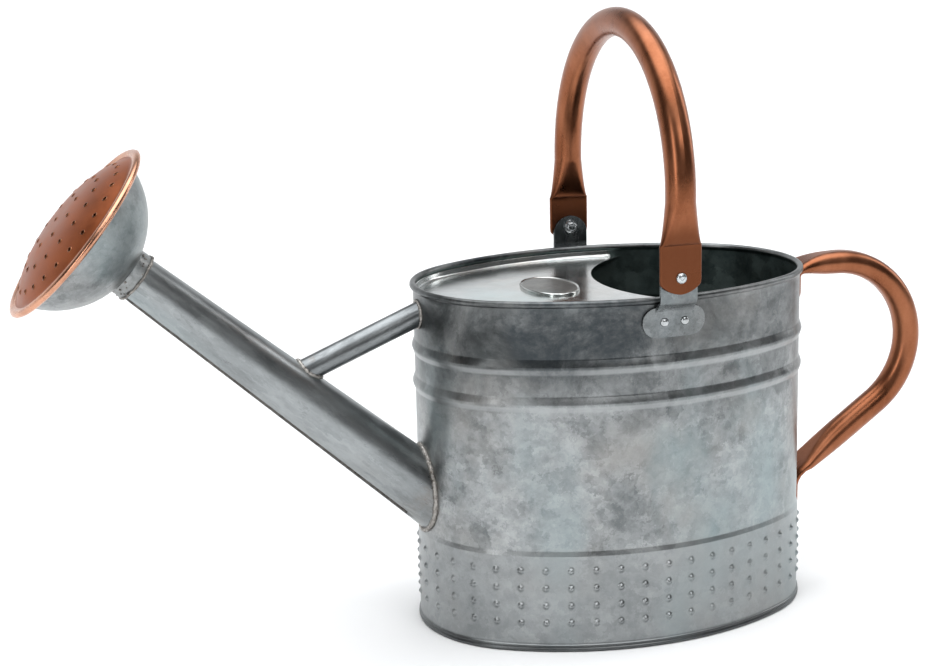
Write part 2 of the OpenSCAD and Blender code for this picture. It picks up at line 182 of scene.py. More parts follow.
# ---------------------------------------------------------------- materials
class Mat:
    """A procedural material. Its texture space is the row's frame, in metres."""

    def __init__(self, name, metallic=1.0, rough=0.4, color=(0.5, 0.5, 0.5)):
        self.m = bpy.data.materials.new(name)
        self.m.use_nodes = True
        self.t = self.m.node_tree
        self.s = self.t.nodes["Principled BSDF"]
        self.s.inputs["Metallic"].default_value = metallic
        self.s.inputs["Roughness"].default_value = rough
        self.s.inputs["Base Color"].default_value = (*color, 1)
        self.at = self.add("ShaderNodeTexCoord").outputs["Object"]

    def add(self, kind, **sets):
        n = self.t.nodes.new(kind)
        for k, v in sets.items():
            setattr(n, k, v)
        return n

    def put(self, socket, value):
        if isinstance(value, bpy.types.NodeSocket):
            self.t.links.new(value, socket)
        elif value is not None:
            socket.default_value = value

    def scaled(self, scale, turn=(0, 0, 0), at=None):
        n = self.add("ShaderNodeMapping")
        self.put(n.inputs["Vector"], at or self.at)
        n.inputs["Scale"].default_value = scale
        n.inputs["Rotation"].default_value = turn
        return n.outputs[0]

    def noise(self, scale, detail=3.0, rough=0.55, at=None, distortion=0.0):
        n = self.add("ShaderNodeTexNoise")
        self.put(n.inputs["Vector"], at or self.at)
        n.inputs["Scale"].default_value = scale
        n.inputs["Detail"].default_value = detail
        n.inputs["Roughness"].default_value = rough
        n.inputs["Distortion"].default_value = distortion
        return n.outputs["Fac"]

    def cells(self, scale, at=None, smooth=None):
        n = self.add("ShaderNodeTexVoronoi")
        if smooth is not None:
            n.feature = "SMOOTH_F1"
            n.inputs["Smoothness"].default_value = smooth
        self.put(n.inputs["Vector"], at or self.at)
        n.inputs["Scale"].default_value = scale
        sep = self.add("ShaderNodeSeparateColor")
        self.put(sep.inputs[0], n.outputs["Color"])
        return sep.outputs[0], n.outputs["Distance"]

    def math(self, op, a, b=None, clamp=False):
        n = self.add("ShaderNodeMath", operation=op, use_clamp=clamp)
        self.put(n.inputs[0], a)
        self.put(n.inputs[1], b)
        return n.outputs[0]

    def ramp(self, fac, *stops):
        n = self.add("ShaderNodeValToRGB")
        self.put(n.inputs[0], fac)
        e = n.color_ramp.elements
        while len(e) < len(stops):
            e.new(0.5)
        for el, (pos, col) in zip(e, stops):
            el.position = pos
            el.color = (*col, 1) if isinstance(col, tuple) else (col, col, col, 1)
        return n.outputs[0]

    def span(self, fac, lo, hi, to_lo=0.0, to_hi=1.0, smooth=False):
        n = self.add("ShaderNodeMapRange", clamp=True)
        if smooth:
            n.interpolation_type = "SMOOTHSTEP"
        self.put(n.inputs["Value"], fac)
        for k, v in zip(("From Min", "From Max", "To Min", "To Max"), (lo, hi, to_lo, to_hi)):
            n.inputs[k].default_value = v
        return n.outputs[0]

    def mix(self, fac, a, b, blend="MIX"):
        n = self.add("ShaderNodeMix", data_type="RGBA", blend_type=blend)
        self.put(n.inputs["Factor"], fac)
        self.put(n.inputs["A"], (*a, 1) if isinstance(a, tuple) else a)
        self.put(n.inputs["B"], (*b, 1) if isinstance(b, tuple) else b)
        return n.outputs["Result"]

    def part(self, axis):
        n = self.add("ShaderNodeSeparateXYZ")
        self.put(n.inputs[0], self.at)
        return n.outputs[axis]

    def far(self, point):
        """Distance from a point in mm, as metres."""
        n = self.add("ShaderNodeVectorMath", operation="DISTANCE")
        self.put(n.inputs[0], self.at)
        n.inputs[1].default_value = tuple(c * MM for c in point)
        return n.outputs["Value"]

    def bump(self, height, strength=0.2, distance=0.0005, normal=None):
        n = self.add("ShaderNodeBump")
        n.inputs["Strength"].default_value = strength
        n.inputs["Distance"].default_value = distance
        self.put(n.inputs["Height"], height)
        if normal is not None:
            self.put(n.inputs["Normal"], normal)
        return n.outputs[0]

    def end(self, color=None, rough=None, normal=None):
        self.put(self.s.inputs["Base Color"], color)
        self.put(self.s.inputs["Roughness"], rough)
        self.put(self.s.inputs["Normal"], normal)
        return self.m


def galvanised(name, dark, light, rough=(0.30, 0.44), grain=1.0, heat_and_shade_points=(), wave=0.3, band=0.0, lean=None):
    """Hot-dip zinc: feathery crystals a few millimetres across, cloudy patches and a faint ripple."""
    m = Mat(name)
    at = m.at if lean is None else m.scaled((1, 1, 0.3), at=m.scaled((1, 1, 1), (0, lean, 0)))
    warp = m.add("ShaderNodeTexNoise")
    m.put(warp.inputs["Vector"], at)
    warp.inputs["Scale"].default_value = 150 * grain
    warp.inputs["Detail"].default_value = 4
    warp.inputs["Roughness"].default_value = 0.7
    moved = m.add("ShaderNodeVectorMath", operation="MULTIPLY_ADD")
    m.put(moved.inputs[0], warp.outputs["Color"])
    moved.inputs[1].default_value = (0.016, 0.016, 0.016)
    m.put(moved.inputs[2], at)
    moved = moved.outputs[0]
    big, _ = m.cells(75 * grain, moved)
    small, _ = m.cells(230 * grain, moved)
    cloud = m.span(m.noise(26 * grain, 6, 0.68, at, 0.5), 0.3, 0.7)
    fleck = m.span(m.noise(130 * grain, 5, 0.75, at), 0.25, 0.75)
    f = m.math("ADD", m.math("MULTIPLY", big, 0.20), m.math("MULTIPLY", small, 0.16))
    f = m.math("ADD", f, m.math("MULTIPLY", cloud, 0.38))
    f = m.math("ADD", f, m.math("MULTIPLY", fleck, 0.26), clamp=True)
    mid = tuple((a + b) / 2 for a, b in zip(dark, light))
    color = m.ramp(f, (0.24, dark), (0.5, mid), (0.76, light))
    color = m.mix(m.span(m.noise(17, 4, at=at), 0.5, 0.7, 0, 0.5), color, tuple(c * k for c, k in zip(mid, (1.10, 1.0, 0.93))))
    color = m.mix(m.span(m.noise(12, 4, at=m.scaled((1, 1, 0.6), at=at)), 0.48, 0.7, 0, 0.75), color, tuple(c * k for c, k in zip(mid, (0.90, 1.10, 1.13))))
    if band:
        # The upper band, from about 142 mm up to the rim, is darkened most towards the spout's end and broken up by
        # cloudy noise: painted shade standing in for the dark reflections on the band.
        edge = m.math("ADD", m.part(2), m.math("MULTIPLY", m.noise(30, 5, 0.65), 0.05))
        painted_band_shade = m.math("MULTIPLY", m.span(edge, 0.142, 0.208, 0, 1, smooth=True), m.span(cloud, 0.0, 1.0, 1.0, 0.45))
        painted_band_shade = m.math("MULTIPLY", painted_band_shade, m.span(m.part(0), -0.06, 0.10, 1.0, 0.72, smooth=True))
        color = m.mix(m.span(m.part(2), 0.056, 0.062, 0.5, 0), color, tuple(c * 0.98 for c in mid))
        color = m.mix(m.math("MULTIPLY", painted_band_shade, band), color, tuple(c * 0.22 for c in dark))
        # A pale strip just below the middle of each bead: a painted highlight where the bead's lower side faces the
        # floor.
        for zc in BEADS:
            low = m.math("ABSOLUTE", m.math("SUBTRACT", m.part(2), (zc - 2.7) * MM))
            color = m.mix(m.span(low, 0.0010, 0.0021, 0.45, 0), color, light)
        # The lowest few millimetres of the wall are darkened: painted shade at the foot, where the wall meets the
        # floor.
        color = m.mix(m.span(m.part(2), 0.0035, 0.0055, 0.7, 0), color, tuple(c * 0.35 for c in dark))
    # Each point tints the zinc round it: the warm tints round welds are real heat marks, and the dark patches on the
    # wall's upper band are painted shade.
    for point, reach, shade in heat_and_shade_points:
        heat_and_shade = m.span(m.math("ADD", m.far(point), m.math("MULTIPLY", m.noise(120, 4, 0.65), 0.016)), reach * MM * 0.6, reach * MM, 1, 0, smooth=True)
        color = m.mix(m.math("MULTIPLY", heat_and_shade, m.span(m.math("ADD", cloud, fleck), 0.6, 1.4, 0.85, 0.25)), color, shade)
    r = m.span(m.math("ADD", m.math("MULTIPLY", big, 0.4), m.math("MULTIPLY", cloud, 0.6)), 0.15, 0.85, *rough)
    n = m.bump(m.noise(14, 2), wave, 0.003)
    n = m.bump(f, 0.06, 0.0006, n)
    return m.end(color, r, n)


def copper(name, dark, light, rough=(0.24, 0.36), stretch=(1, 1, 1), shaded_spots=(), metallic=1.0):
    """A satin copper-coloured coat, with soft cloudy streaks along the tube."""
    m = Mat(name, metallic=metallic)
    long = m.noise(60, 4, 0.6, m.scaled(stretch))
    fine = m.noise(700, 2, 0.5)
    specks = m.span(m.noise(1500, 1), 0.68, 0.8)
    f = m.math("ADD", m.math("MULTIPLY", long, 0.85), m.math("MULTIPLY", fine, 0.15))
    color = m.ramp(f, (0.3, dark), (0.7, light))
    color = m.mix(m.math("MULTIPLY", specks, 0.25), color, tuple(c * 0.5 for c in dark))
    # Darker copper round the given points: painted shade.
    for point, reach in shaded_spots:
        color = m.mix(m.span(m.far(point), reach * MM * 0.6, reach * MM, 0.8, 0, smooth=True), color, tuple(c * 0.62 for c in dark))
    n = m.bump(fine, 0.03, 0.0003, m.bump(m.noise(30, 1), 0.12, 0.001))
    return m.end(color, m.span(long, 0.3, 0.7, *rough), n)


def welded(name, dark, light):
    """Rough bright weld metal with heat marks."""
    m = Mat(name, metallic=1.0)
    a, b = m.noise(420, 4, 0.65), m.noise(160, 2)
    color = m.ramp(m.math("ADD", m.math("MULTIPLY", a, 0.6), m.math("MULTIPLY", b, 0.4)), (0.32, dark), (0.62, light))
    return m.end(color, m.span(b, 0.3, 0.7, 0.28, 0.6), m.bump(a, 0.6, 0.0012))


WELD_HOT = (0.17, 0.12, 0.085)
# Dark patches on the wall's upper band near the rim: painted shade, standing in for dark reflections there.
BAND_SHADE_SPOT = (0.040, 0.048, 0.054)
WALL = galvanised("zinc_wall", (0.150, 0.161, 0.164), (0.43, 0.446, 0.449), band=0.95,
                  heat_and_shade_points=[((-118, 0, 85), 34, WELD_HOT), ((-118, 0, 190), 13, WELD_HOT),
                               ((-58, -70, 190), 44, BAND_SHADE_SPOT), ((-22, -78, 188), 34, BAND_SHADE_SPOT), ((-58, 70, 190), 44, BAND_SHADE_SPOT)])
# A darker copy of the zinc for every inner face, in the can, the spout and the rose: painted shade.
INSIDE = galvanised("zinc_inside", (0.045, 0.065, 0.064), (0.14, 0.18, 0.172), rough=(0.4, 0.6), grain=0.8)
COVER = galvanised("zinc_cover", (0.42, 0.440, 0.440), (0.64, 0.66, 0.657), rough=(0.17, 0.26), grain=0.6, wave=0.12)
TUBE = galvanised("zinc_spout", (0.20, 0.213, 0.217), (0.38, 0.400, 0.405), rough=(0.27, 0.36), grain=1.2, wave=0.06, lean=math.pi / 2 - SPOUT_A,
                  heat_and_shade_points=[((-118, 0, 85), 31, WELD_HOT), ((-181, 0, 165), 14, WELD_HOT), ((-279, 0, 225), 17, (0.22, 0.17, 0.13))])
# The brace's zinc is darker than the spout's and the wall's: painted shade, to dim the overhead reflection on its top.
BRACE = galvanised("zinc_brace", (0.12, 0.128, 0.132), (0.27, 0.284, 0.290), rough=(0.28, 0.38), grain=1.8, wave=0.15, lean=math.pi / 2 + BRACE_A,
                   heat_and_shade_points=[((-181, 0, 165), 14, WELD_HOT), ((-118, 0, 190), 11, WELD_HOT)])
BOWL = galvanised("zinc_bowl", (0.14, 0.147, 0.148), (0.38, 0.395, 0.396), rough=(0.32, 0.48), grain=1.3,
                  heat_and_shade_points=[((-284, 0, 230), 20, (0.24, 0.19, 0.15))])
# The ears' zinc is darker than the wall's: painted shade, to match the wall's darkened upper band.
EAR = galvanised("zinc_ear", (0.085, 0.094, 0.098), (0.24, 0.258, 0.264), rough=(0.18, 0.3), grain=1.6)
RIVET = galvanised("rivet_zinc", (0.34, 0.36, 0.37), (0.64, 0.66, 0.67), rough=(0.2, 0.32), grain=3, wave=0.1)
PLAQUE = galvanised("plaque_zinc", (0.11, 0.11, 0.105), (0.33, 0.33, 0.32), rough=(0.34, 0.46), grain=5, wave=0.1)
PLAQUE_EDGE = galvanised("plaque_edge_zinc", (0.34, 0.35, 0.34), (0.60, 0.61, 0.60), rough=(0.14, 0.22), grain=3, wave=0.1)
# The bail's pressed ends round its pivots are darkened: painted shade on the flat paddles.
COPPER = copper("copper_tube", (0.18, 0.059, 0.026), (0.34, 0.131, 0.066), stretch=(1.0, 1.0, 0.35),
                shaded_spots=[((8, -92, 220), 34), ((8, 92, 220), 34)])
COPPER_FACE = copper("copper_face", (0.24, 0.060, 0.016), (0.35, 0.095, 0.029), rough=(0.34, 0.44), metallic=0.8)
# A dark copy of the copper for the lips round the rose's holes: painted shade, so the holes read as dark dots.
COPPER_LIP_SHADED = copper("copper_lip_shaded", (0.09, 0.030, 0.013), (0.30, 0.12, 0.06), rough=(0.25, 0.35))
# A brighter copy of the copper for the rose's rolled edge: a painted highlight along the flange.
COPPER_EDGE_HIGHLIT = copper("copper_edge_highlit", (0.38, 0.17, 0.10), (0.72, 0.38, 0.25), rough=(0.2, 0.3))
WELD = welded("weld_metal", (0.07, 0.058, 0.05), (0.50, 0.48, 0.45))
# A near-black copy of the weld metal, laid on one column of the spout's faces: a painted shadow line along the lap
# seam.
SEAM_SHADOW = welded("seam_shadow_line", (0.03, 0.026, 0.023), (0.16, 0.15, 0.14))
SOLDER = welded("solder_metal", (0.045, 0.037, 0.031), (0.34, 0.32, 0.295))


# ---------------------------------------------------------------- wall
def make_wall():
    columns, pitch, first = 44, GIRTH / 44, 4.9
    near = (-7.0, -5.0, -3.2, -2.1, -1.6, -1.1, -0.55, 0.0, 0.55, 1.1, 1.6, 2.1, 3.2, 5.0)
    runs = [first + k * pitch + d for k in range(columns) for d in near]
    rows = (48.6, 38.1, 27.6, 17.2)
    high, reach = 1.45, 2.15

    zs = {4.6, 6, 9, 12, 56.6, 57.0, 63, 68, 75, 85, 95, 105, 115, 125, 135, 140, 177, 182, 188, 194, 199, 201.6}
    for z in rows:
        zs |= {z + d for d in (-5.2, -3.2, -2.1, -1.6, -1.1, -0.55, 0, 0.55, 1.1, 1.6, 2.1, 3.2)}
    zs |= {STEP_Z + d for d in (-1.5, -1.1, -0.7, -0.3, 0.1, 0.5, 0.9, 1.3, 1.7)}
    for z in BEADS:
        zs |= {z + BEAD_H / 2 * d / 8 for d in range(-9, 10)}
    zs = sorted(zs)

    outer = [(wall_out(z), z, True) for z in zs]
    foot = [(-0.2, 0.0), (0.8, 0.02), (1.4, 0.2), (1.74, 0.7), (1.8, 1.3), (1.65, 1.9), (1.15, 2.25), (1.1, 2.45), (1.5, 2.75), (1.62, 3.3), (1.45, 3.85), (1.0, 4.15), (0.82, 4.3)]
    rim = [(0.1 + RIM_R * math.cos(math.radians(a)), BODY_H - RIM_R + RIM_R * math.sin(math.radians(a)))
           for a in range(-84, 241, 18)]
    inner_z = [z for z in zs if z > 60 or z in (12, 56.6)]
    inner = [(wall_out(z) - SHEET, z) for z in reversed(inner_z)]
    profile = [(o, z, False) for o, z in foot] + outer + [(o, z, False) for o, z in rim] + [(o, z, False) for o, z in inner] + [(-0.2, 3.0, False)]

    n, rings, verts = len(runs), [], []
    for out, z, dimpled in profile:
        ring = []
        for i, run in enumerate(runs):
            o = out
            d = near[i % len(near)]
            if dimpled and abs(d) < reach:
                for zr in rows:
                    q = (d * d + (z - zr) ** 2) / reach**2
                    if q < 1:
                        o += high * (1 - q) ** 1.2
            (x, y), _ = oval(run, o)
            ring.append((x, y, z))
        rings.append(ring)
    verts, faces = loft(rings, closed=True, caps=False)
    split = len(foot) + len(outer) + len(rim) - 4
    mats = [1 if split <= i // n < len(profile) - 1 else 0 for i in range(len(faces))]
    ob = build("can_wall", verts, faces, mats=(WALL, INSIDE), face_mats=mats, stands_for=("body_wall",))
    return turned(ob)


wall = make_wall()


def cone_point(s, angle, grow=0.0):
    """Point on the spout's outside, s mm along its axis from the wall."""
    d = Vector((-math.cos(SPOUT_A), 0, math.sin(SPOUT_A)))
    up = Vector((math.sin(SPOUT_A), 0, math.cos(SPOUT_A)))
    r = SPOUT_R1 + (SPOUT_R2 - SPOUT_R1) * s / SPOUT_L + grow
    return SPOUT_O + d * s + up * (r * math.cos(angle)) + Vector((0, 1, 0)) * (r * math.sin(angle))


def solve(f, lo, hi):
    """Where f changes sign between lo and hi."""
    flo = f(lo)
    for _ in range(46):
        mid = (lo + hi) / 2
        if (f(mid) > 0) == (flo > 0):
            lo = mid
        else:
            hi = mid
    return (lo + hi) / 2


def spout_foot(angle, grow=0.0, out=0.0):
    """How far along the axis the spout's outside leaves the wall."""
    def gap(s):
        p = cone_point(s, angle, grow)
        return -p.x - wall_x(p.y, out)
    return solve(gap, -45, 60)


def cut_spout_hole():
    """Opens the wall inside the spout."""
    n = 48
    rings = [[cone_point(s, -TAU * j / n, -2.2) for j in range(n)] for s in (-60, 45)]
    verts, faces = loft(rings)
    me = bpy.data.meshes.new("hole")
    me.from_pydata([tuple(c * MM for c in v) for v in verts], [], faces)
    tool = bpy.data.objects.new("hole", me)
    bpy.context.scene.collection.objects.link(tool)
    m = wall.modifiers.new("hole", "BOOLEAN")
    m.operation, m.solver, m.object = "DIFFERENCE", "EXACT", tool
    bpy.context.view_layer.update()
    got = wall.evaluated_get(bpy.context.evaluated_depsgraph_get())
    new = bpy.data.meshes.new_from_object(got)
    wall.modifiers.clear()
    wall.data = new
    bpy.data.objects.remove(tool)


cut_spout_hole()


# ---------------------------------------------------------------- cover and plaque
def make_cover():
    """A flat sheet with a cut mouth and an upright flange that follows the wall."""
    flange_end = 30.0
    n = 160
    start = solve(lambda r: oval(r)[0][0] - 34.0, 0.0, 91.6)
    # from the back's end, round the spout side, to the front's end
    first, last = GIRTH / 2 - start, GIRTH + start
    runs = [first + (last - first) * i / n for i in range(n + 1)]
    foot, wide = 3.4, 1.8
    fillet = [(-foot + wide * math.sin(math.radians(a)), COVER_Z + wide * (1 - math.cos(math.radians(a)))) for a in (15, 30, 45, 60, 75, 90)]
    strip_out = [(-foot, COVER_Z)] + fillet + [(-1.55, 202.0), (-1.2, 202.3), (-0.85, 202.0)]
    strip_in = [(-0.82, 200), (-0.95, COVER_Z + 0.4), (-1.8, COVER_Z - 0.5), (-foot, COVER_Z - 0.8)]
    profile = strip_out + strip_in
    m = len(profile)
    verts, faces = [], []
    for r in runs:
        x0 = oval(r)[0][0]
        low = x0 > flange_end
        for o, z in profile:
            (x, y), _ = oval(r, o)
            verts.append((x, y, min(z, COVER_Z + 0.15) if low and z > COVER_Z else z))
    for i in range(n):
        for j in range(m - 1):
            faces.append([i * m + j, (i + 1) * m + j, (i + 1) * m + j + 1, i * m + j + 1])
    faces.append(list(range(m)))
    faces.append([n * m + j for j in reversed(range(m))])
    # the flat: a fan of strips between the flange's foot and the cut edge
    k = len(verts)
    cx = MOUTH_X + MOUTH_R
    ends = [oval(runs[0], -foot)[0], oval(runs[-1], -foot)[0]]
    steps = 14
    grid = []
    for i, r in enumerate(runs):
        a = -1.0 + 2.0 * i / n
        lim = math.asin(min(1.0, abs(ends[0][1]) / MOUTH_R))
        ang = lim * a
        edge = (cx - MOUTH_R * math.cos(ang), -MOUTH_R * math.sin(ang))
        (x, y), _ = oval(r, -foot)
        grid.append([(x + (edge[0] - x) * j / steps, y + (edge[1] - y) * j / steps) for j in range(steps + 1)])
    for z in (COVER_Z, COVER_Z - 0.8):
        for col in grid:
            verts += [(x, y, z) for x, y in col]
    w = steps + 1
    size = (n + 1) * w
    for side in (0, 1):
        for i in range(n):
            for j in range(steps):
                f = [k + side * size + i * w + j, k + side * size + (i + 1) * w + j, k + side * size + (i + 1) * w + j + 1, k + side * size + i * w + j + 1]
                faces.append(f if side else f[::-1])
    for i in range(n):
        a, b = k + i * w + steps, k + (i + 1) * w + steps
        faces.append([a, b, b + size, a + size])
    for i in (0, n):
        for j in range(steps):
            a = k + i * w + j
            f = [a, a + 1, a + 1 + size, a + size]
            faces.append(f if i else f[::-1])
    ob = build("can_cover", verts, faces, slot="galvanised_cover", mats=(COVER,), stands_for=("top_cover",))
    import bmesh
    bm = bmesh.new()
    bm.from_mesh(ob.data)
    bmesh.ops.remove_doubles(bm, verts=bm.verts, dist=0.00002)
    bmesh.ops.recalc_face_normals(bm, faces=bm.faces)
    bm.to_mesh(ob.data)
    bm.free()
    return sharp(ob)


make_cover()


def make_plaque():
    """A blank oval plate, slightly crowned, inside a rounded border."""
    cx, hx, hy, base = -37.0, 16.4, 25.8, COVER_Z
    prof = [(1.0, 0.0, 1), (1.0, 0.9, 1), (0.99, 1.45, 1), (0.97, 1.75, 1), (0.95, 1.6, 1), (0.935, 1.35, 1), (0.92, 1.2, 0),
            (0.8, 1.3, 0), (0.6, 1.5, 0), (0.35, 1.65, 0), (0.12, 1.7, 0)]
    n = 96
    rings = [[(cx + hx * k * math.cos(TAU * j / n), hy * k * math.sin(TAU * j / n), base + h) for j in range(n)] for k, h, _ in prof]
    verts, faces = loft(rings)
    mats = [prof[min(i // n, len(prof) - 1)][2] for i in range(len(faces))]
    mats[-2:] = [0, 0]
    ob = build("cover_plaque", verts, faces, slot="plaque_metal", mats=(PLAQUE, PLAQUE_EDGE), face_mats=mats, stands_for=("badge_plate",))
    return sharp(turned(ob), 50)


make_plaque()


# ---------------------------------------------------------------- ears and rivets
def make_ear(side):
    """A sheet strip: a wide plate curved to the wall, a joggle over the rim and a round-topped tab."""
    ex, t = 8.0, 1.5
    tab_y = 86.0 + t
    rows = []
    for z in (182.7, 182.95, 183.5, 184.4, 185.6, 187.2, 189, 191, 193, 195, 196.2, 197.2, 198.2, 199.0, 199.7):
        rows.append((None, z))
    # plate is curved; the joggle and tab are straight across
    rows += [(82.1, 198.0), (83.6, 199.8), (85.4, 201.6), (86.9, 203.1), (87.4, 204.2), (tab_y, 206), (tab_y, 209), (tab_y, 213.5)]
    rows += [(tab_y, 213.5 + 11 * math.sin(math.radians(a))) for a in (12, 24, 36, 48, 60, 70, 78, 84, 88)]
    plate_rows = 15
    half_w, half_h, zc = 19.2, 8.7, 191.4

    def plate_half(z):
        d = min(abs(z - zc), half_h)
        return half_w - half_h + math.sqrt(max(half_h**2 - d * d, 0))

    n = 28
    objs = []
    # the wall plate
    verts, faces = [], []
    prows = rows[:plate_rows] + [(None, 200.1)]
    for face in (t, 0.02):
        for _, z in prows:
            hw = max(plate_half(z), 0.4)
            for j in range(n + 1):
                x = ex + hw * (2 * j / n - 1)
                r = SIDE_R + face
                y = math.sqrt(r * r - x * x) - SIDE_Y
                verts.append((x, side * y, z))
    w, size = n + 1, (n + 1) * len(prows)
    for s in (0, 1):
        for i in range(len(prows) - 1):
            for j in range(n):
                a = s * size + i * w + j
                faces.append([a, a + 1, a + 1 + w, a + w])
    rim = [j for j in range(w)] + [i * w + n for i in range(1, len(prows))] + [(len(prows) - 1) * w + j for j in reversed(range(n))] + [i * w for i in reversed(range(1, len(prows) - 1))]
    for a, b in zip(rim, rim[1:] + rim[:1]):
        faces.append([a, b, b + size, a + size])
    plate = (verts, faces)
    # the joggle and the tab
    verts, faces = [], []
    tab = [(81.45, 195.5), (81.5, 197.0)] + rows[plate_rows:]
    count = len(tab)
    for face in (0, 1):
        for i, (y, z) in enumerate(tab):
            a, b = tab[max(i - 1, 0)], tab[min(i + 1, count - 1)]
            dy, dz = b[0] - a[0], b[1] - a[1]
            ln = math.hypot(dy, dz) or 1
            yy, zz = (y, z) if not face else (y - t * dz / ln, z + t * dy / ln)
            hw = 11.0 if z <= 213.5 else math.sqrt(max(121 - (z - 213.5) ** 2, 0.2))
            if z < 199.5:
                hw = 11.0 + (199.5 - min(z, 199.5)) * 0.25
            for j in range(n + 1):
                verts.append((ex + hw * (2 * j / n - 1), side * yy, zz))
    size = w * count
    for s in (0, 1):
        for i in range(count - 1):
            for j in range(n):
                a = s * size + i * w + j
                faces.append([a, a + 1, a + 1 + w, a + w])
    rim = [j for j in range(w)] + [i * w + n for i in range(1, count)] + [(count - 1) * w + j for j in reversed(range(n))] + [i * w for i in reversed(range(1, count - 1))]
    for a, b in zip(rim, rim[1:] + rim[:1]):
        faces.append([a, b, b + size, a + size])
    name = "front" if side < 0 else "back"
    ob = build("ear_sheet_" + name, *join([plate, (verts, faces)]), mats=(EAR,), stands_for=("ear_" + name,))
    return bevelled(turned(ob), 0.35, 3, 50)


for side in (-1, 1):
    make_ear(side)


def dome(place, reach, head, r_head, inner_r, n=32):
    """A rivet along place's axis: the shank's inner head at reach[0], the outer dome on reach[1]."""
    a, b = reach
    h = head
    prof = [(a - 1.2, 0.05), (a - 1.2, inner_r * 0.72), (a - 0.95, inner_r * 0.9), (a, inner_r * 0.95), (a, 1.5), (b, 1.5), (b, r_head)]
    prof += [(b + 0.12 * h, r_head)] + [(b + h * math.sin(math.radians(t)), r_head * math.cos(math.radians(t)) ** 0.8) for t in (15, 30, 45, 60, 72, 82)]
    prof += [(b + h, 0.05)]
    rings = [[place(s, r, TAU * j / n) for j in range(n)] for s, r in prof]
    return loft(rings)


def across(x, z, side):
    """Places (s, r, angle) on an axis along Y."""
    return lambda s, r, a: (x + side * r * math.cos(a), side * s, z + r * math.sin(a))


def along(y, z):
    """Places (s, r, angle) on an axis along +X."""
    return lambda s, r, a: (s, y + r * math.cos(a), z + r * math.sin(a))


def side_y(x):
    return math.sqrt(SIDE_R**2 - x * x) - SIDE_Y


for side, name in ((-1, "front"), (1, "back")):
    parts = []
    for dx in (-6.2, 6.2):
        y = side_y(8 + dx)
        parts.append(dome(across(8 + dx, 191.4, side), (y - 0.9, y + 1.5), 1.5, 2.5, 2.4))
    ob = build("ear_rivet_pair_" + name, *join(parts), slot="rivet_steel", mats=(RIVET,), stands_for=("ear_rivets_" + name,))
    sharp(turned(ob), 60)

    head_y = 87.7 + 2.8 + 0.15
    n = 40
    shank = [(86.0 - 3.2, 0.05), (82.8, 2.0), (82.95, 2.5), (83.3, 2.8), (84.75, 3.05), (84.8, 2.0), (head_y, 2.0), (head_y, 3.15),
             (head_y + 0.25, 3.15), (head_y + 0.8, 2.95), (head_y + 1.35, 2.35), (head_y + 1.68, 1.5), (head_y + 1.72, 1.15),
             (head_y + 1.35, 0.95), (head_y + 1.3, 0.05)]
    place = across(*PIVOT, side)
    ob = build("pivot_pin_" + name, *loft([[place(s, r, TAU * j / n) for j in range(n)] for s, r in shank]),
               slot="rivet_steel", mats=(RIVET,), stands_for=("pivot_rivet_" + name,))
    sharp(turned(ob), 50)

washers = []
for side in (-1, 1):
    prof = [(84.8, 2.0), (84.8, 3.9), (84.95, 4.2), (85.7, 4.3), (85.98, 4.15), (85.98, 2.0)]
    washers.append(lathe(prof, across(*PIVOT, side), 40))
sharp(turned(build("pivot_washer_pair", *join(washers), slot="rivet_steel", mats=(RIVET,), stands_for=("pivot_washers",))), 50)

for name, z, out, tab_t in (("top", 188.0, 0.0, 3.2), ("bottom", 54.0, 0.8, 2.4)):
    parts = []
    for y in (-6, 6):
        x = wall_x(y, out)
        parts.append(dome(along(y, z), (x - 0.9, x + tab_t + 0.05), 1.5, 2.5, 2.4))
    sharp(turned(build("rear_rivet_pair_" + name, *join(parts), slot="rivet_steel", mats=(RIVET,), stands_for=("rear_rivets_" + name,))), 60)


# ---------------------------------------------------------------- tubes with pressed ends
def stadium(width, thick, n=20, flat=5):
    """A flattened tube's outline as (across, through) points: two half rounds and two flats."""
    r = thick / 2
    half = max(width / 2 - r, 0.0)
    pts = [(half + r * math.cos(a), r * math.sin(a)) for a in [math.radians(-90 + 180 * i / n) for i in range(n + 1)]]
    pts += [(half - 2 * half * i / (flat + 1), r) for i in range(1, flat + 1)]
    pts += [(-half - r * math.cos(a), -r * math.sin(a) * -1) for a in [math.radians(90 - 180 * i / n) for i in range(n + 1)]]
    pts += [(-half + 2 * half * i / (flat + 1), -r) for i in range(1, flat + 1)]
    return pts


def pressed_width(thick, d):
    """Width of a round tube of diameter d pressed to a thickness, its girth unchanged."""
    return d + (math.pi / 2 - 1) * (d - thick)


def tube(stations, d, across_dir=None):
    """Rings for stations (point, through direction, across direction, thickness, width or None)."""
    rings = []
    for p, thru, acr, thick, width in stations:
        w = pressed_width(thick, d) if width is None else width
        rings.append([p + acr * a + thru * b for a, b in stadium(w, thick)])
    return loft(rings)


